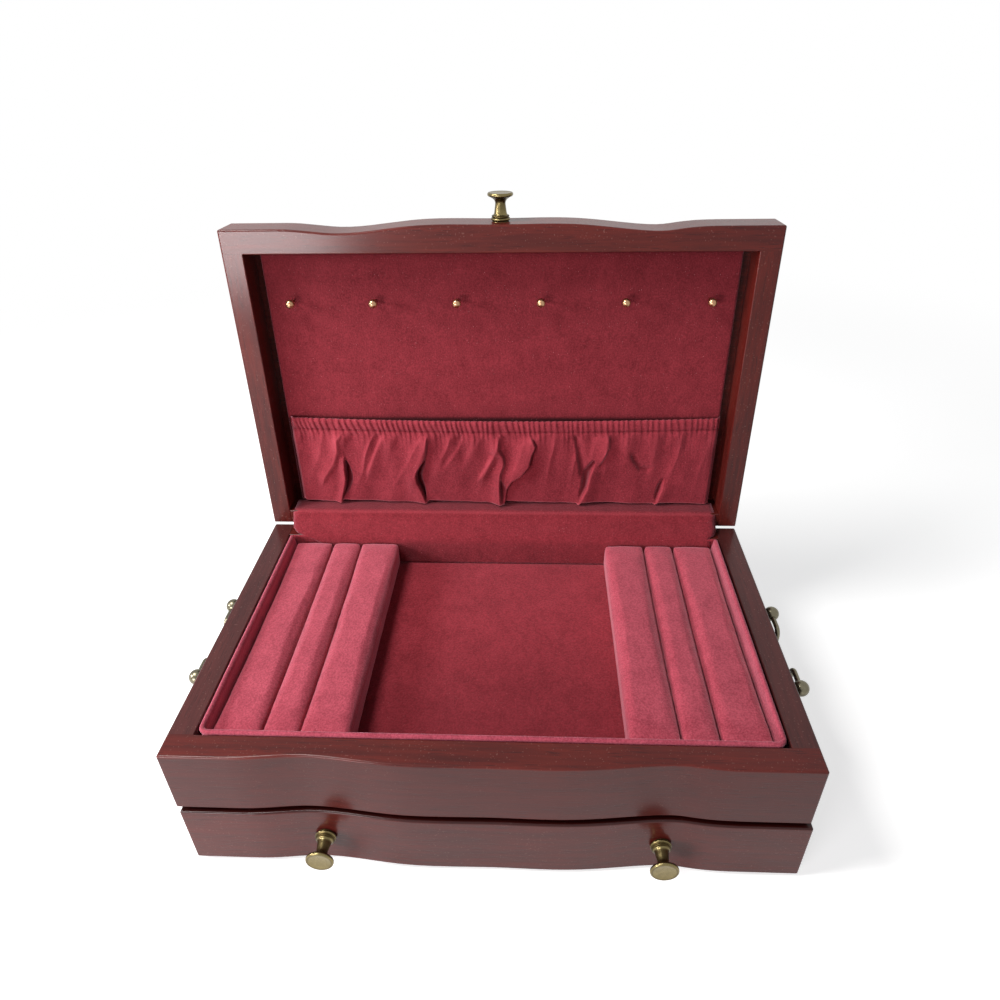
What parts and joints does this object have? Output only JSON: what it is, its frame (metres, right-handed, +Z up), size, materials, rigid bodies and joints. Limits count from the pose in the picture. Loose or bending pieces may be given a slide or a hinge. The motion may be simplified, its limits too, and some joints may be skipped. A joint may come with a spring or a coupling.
{
  "type": "ring box with drawer",
  "caption": "Wooden jewellery box with a serpentine front, hinged lid, velvet ring tray, gathered lid pocket, necklace hooks, a drawer and side bails.",
  "frame": {"origin": "centre of the felt under the base, on the surface that the box stands on", "axes": "+X to the right of someone facing the drawer, +Y from front to back, +Z up"},
  "size_m": [0.3326, 0.231, 0.2841],
  "materials": {
    "mahogany_wood": "dark reddish-brown stain, satin lacquer",
    "plain_hardwood": "sanded, unstained",
    "plain_plywood": "sanded plywood",
    "burgundy_velvet": "short-pile velvet",
    "dark_felt": "pressed felt",
    "elastic_tape": "woven elastic tape",
    "antique_brass": "aged, polished on the high spots",
    "screw_steel": "plain"
  },
  "bodies": {
    "case": {"base_felt": "dark_felt", "case_back": "mahogany_wood", "case_bottom": "plain_plywood", "case_corner_brads": "screw_steel", "case_front_rail": "mahogany_wood", "case_hinge_screws": "screw_steel", "case_left_side": "mahogany_wood", "case_right_side": "mahogany_wood", "drawer_runner_left": "plain_hardwood", "drawer_runner_right": "plain_hardwood", "drawer_stop": "plain_hardwood", "handle_nuts": "antique_brass", "handle_posts_left": "antique_brass", "handle_posts_right": "antique_brass", "handle_rosettes": "antique_brass", "hinge_flap": "burgundy_velvet", "hinge_lower_leaf_left": "antique_brass", "hinge_lower_leaf_right": "antique_brass", "hinge_pins": "antique_brass", "ring_roll_left_inner": "burgundy_velvet", "ring_roll_left_middle": "burgundy_velvet", "ring_roll_left_outer": "burgundy_velvet", "ring_roll_right_inner": "burgundy_velvet", "ring_roll_right_middle": "burgundy_velvet", "ring_roll_right_outer": "burgundy_velvet", "tray_board": "plain_plywood", "tray_cleat_left": "plain_hardwood", "tray_cleat_right": "plain_hardwood", "tray_liner_front": "burgundy_velvet", "tray_liner_left": "burgundy_velvet", "tray_liner_rear": "burgundy_velvet", "tray_liner_right": "burgundy_velvet", "tray_mat": "burgundy_velvet"},
    "lid": {"hinge_upper_leaf_left": "antique_brass", "hinge_upper_leaf_right": "antique_brass", "lid_back_rail": "mahogany_wood", "lid_corner_brads": "screw_steel", "lid_front_rail": "mahogany_wood", "lid_hinge_screws": "screw_steel", "lid_knob": "antique_brass", "lid_knob_screw": "screw_steel", "lid_left_stile": "mahogany_wood", "lid_lining": "burgundy_velvet", "lid_pocket": "burgundy_velvet", "lid_right_stile": "mahogany_wood", "lid_top": "mahogany_wood", "necklace_hooks": "antique_brass", "pocket_elastic": "elastic_tape"},
    "drawer": {"drawer_back": "plain_hardwood", "drawer_bottom": "plain_plywood", "drawer_front": "mahogany_wood", "drawer_knob_left": "antique_brass", "drawer_knob_right": "antique_brass", "drawer_knob_screws": "screw_steel", "drawer_left_side": "plain_hardwood", "drawer_mat": "burgundy_velvet", "drawer_right_side": "plain_hardwood", "drawer_wall_lining": "burgundy_velvet"},
    "bail_left": {"bail_left": "antique_brass"},
    "bail_right": {"bail_right": "antique_brass"}
  },
  "joints": [
    {"name": "lid_hinge", "type": "hinge", "parent": "case", "child": "lid", "pos_m": [0, 0.0937, 0.0819], "axis": [1, 0, 0], "range_deg": [0, 93], "deforming": ["hinge_flap"]},
    {"name": "drawer_slide", "type": "slide", "parent": "case", "child": "drawer", "axis": [0, -1, 0], "range_m": [0, 0.1315]},
    {"name": "bail_left_swing", "type": "hinge", "parent": "case", "child": "bail_left", "pos_m": [-0.162, 0, 0.064], "axis": [0, 1, 0], "range_deg": [-18, 180]},
    {"name": "bail_right_swing", "type": "hinge", "parent": "case", "child": "bail_right", "pos_m": [0.162, 0, 0.064], "axis": [0, -1, 0], "range_deg": [-18, 180]}
  ]
}
